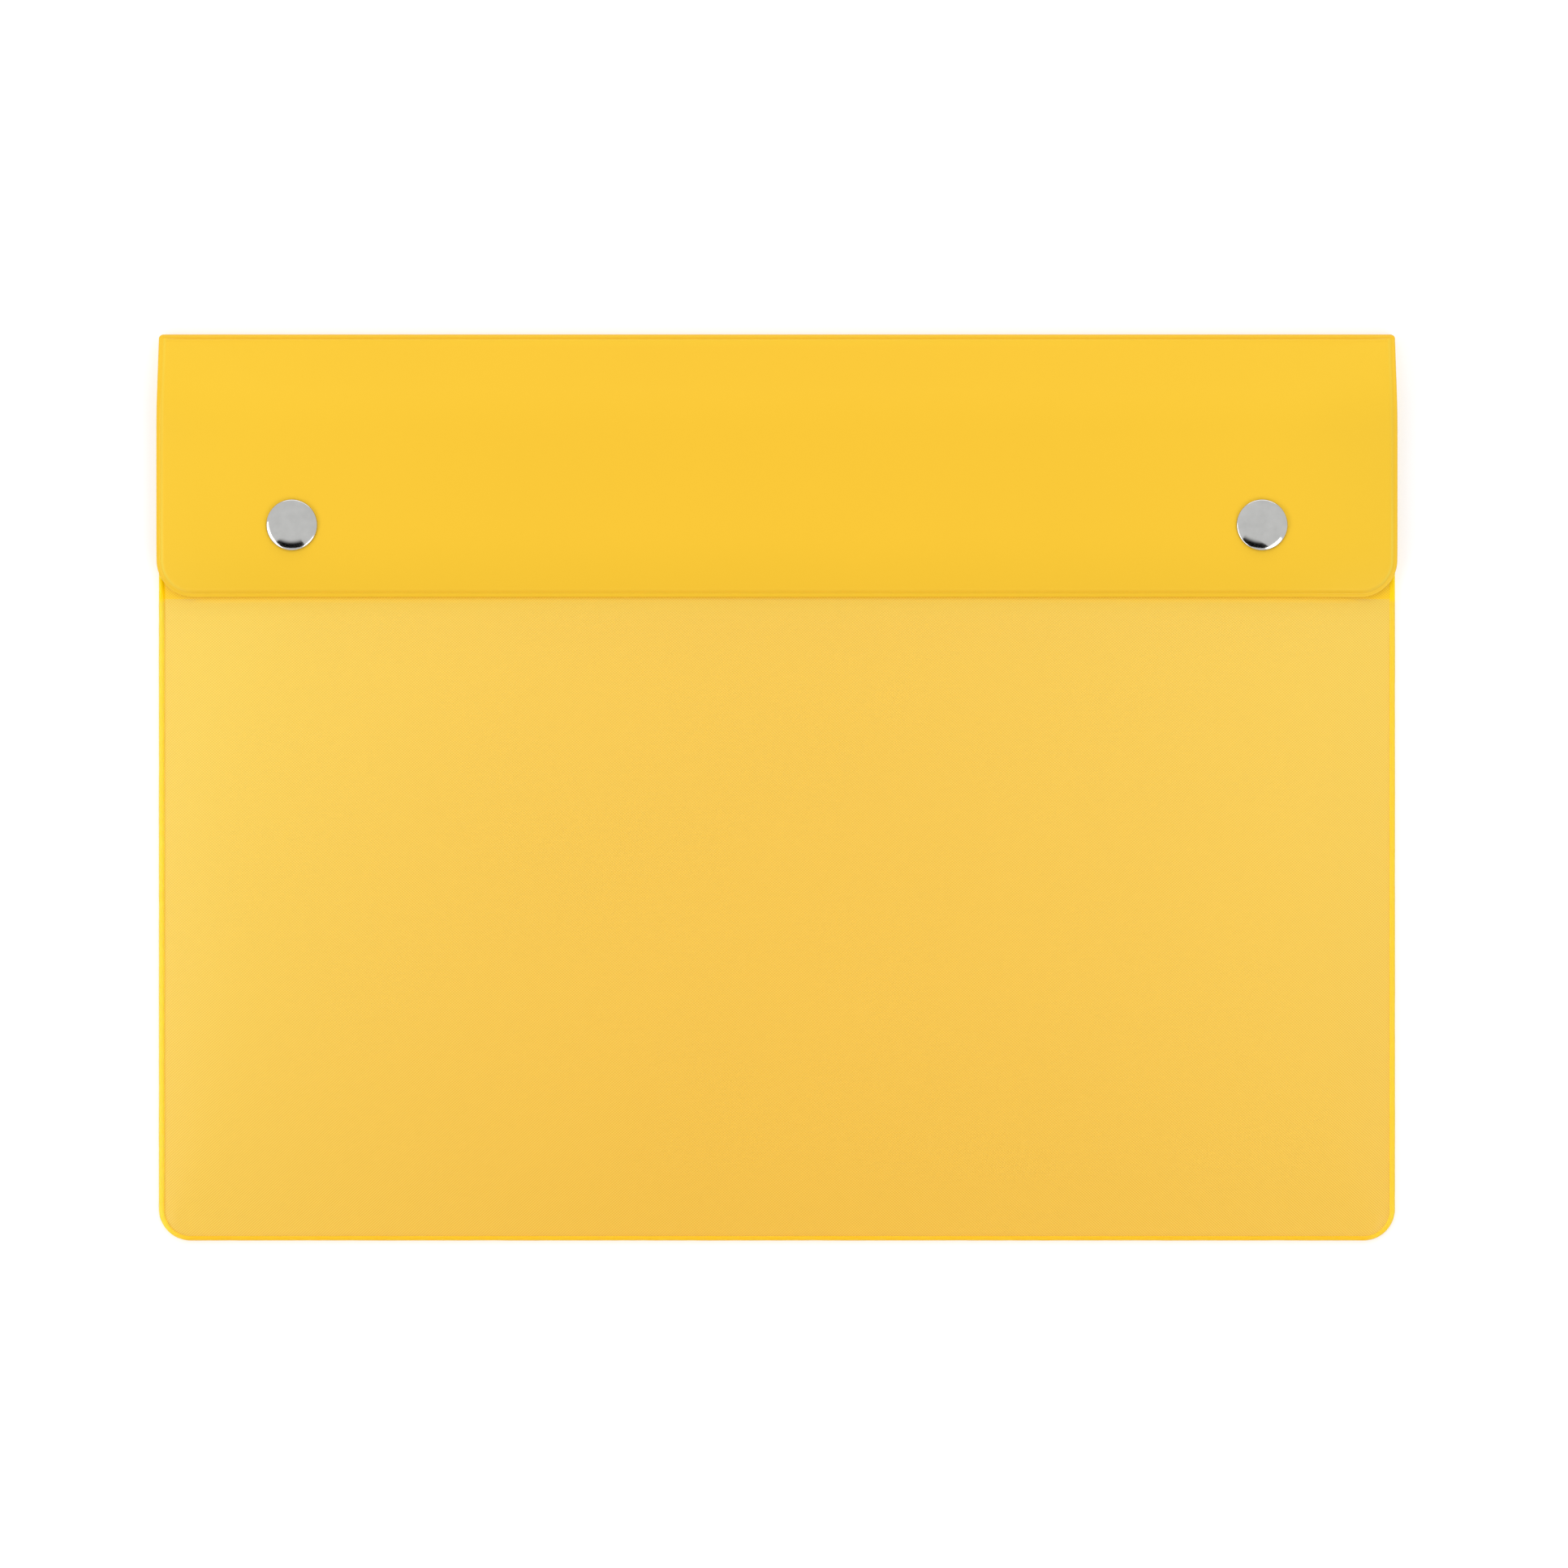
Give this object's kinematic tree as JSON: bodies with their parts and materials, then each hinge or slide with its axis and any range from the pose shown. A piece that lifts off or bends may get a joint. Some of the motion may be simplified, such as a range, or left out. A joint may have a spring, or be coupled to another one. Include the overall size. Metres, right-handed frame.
{
  "type": "document wallet",
  "caption": "Flat document wallet of welded vinyl: a pocket with a clear embossed front, and a top flap that folds over the mouth and snaps shut.",
  "frame": {"origin": "middle of the underside of the closed wallet, lying on its back", "axes": "+X across the wallet to the right of someone looking at its front, +Y up to the fold, +Z out of the front"},
  "size_m": [0.32, 0.2346, 0.0118],
  "materials": {
    "yellow_vinyl": "satin, very fine grain",
    "yellow_lining": "satin",
    "clear_film": "clear, fine crossed-diagonal emboss",
    "fused_bead": "glossy, fused",
    "grey_board": "plain board",
    "nickel": "polished nickel plate",
    "spring_steel": "drawn wire"
  },
  "bodies": {
    "pocket": {"back_panel": "yellow_vinyl", "back_stiffener": "grey_board", "back_lining": "yellow_lining", "weld_bead": "fused_bead", "pocket_front": "clear_film", "fold_cover": "yellow_vinyl", "fold_lining": "yellow_lining", "left_stud": "nickel", "right_stud": "nickel", "left_eyelet": "nickel", "right_eyelet": "nickel"},
    "flap": {"flap_cover": "yellow_vinyl", "flap_stiffener": "grey_board", "flap_lining": "yellow_lining", "left_cap": "nickel", "right_cap": "nickel", "left_socket": "nickel", "right_socket": "nickel", "left_spring": "spring_steel", "right_spring": "spring_steel"}
  },
  "joints": [
    {"name": "flap_hinge", "type": "hinge", "parent": "pocket", "child": "flap", "pos_m": [0, 0.11797, 0.00153], "axis": [-1, 0, 0], "range_deg": [0, 160], "deforming": ["fold_cover", "fold_lining", "left_spring", "right_spring"]}
  ]
}
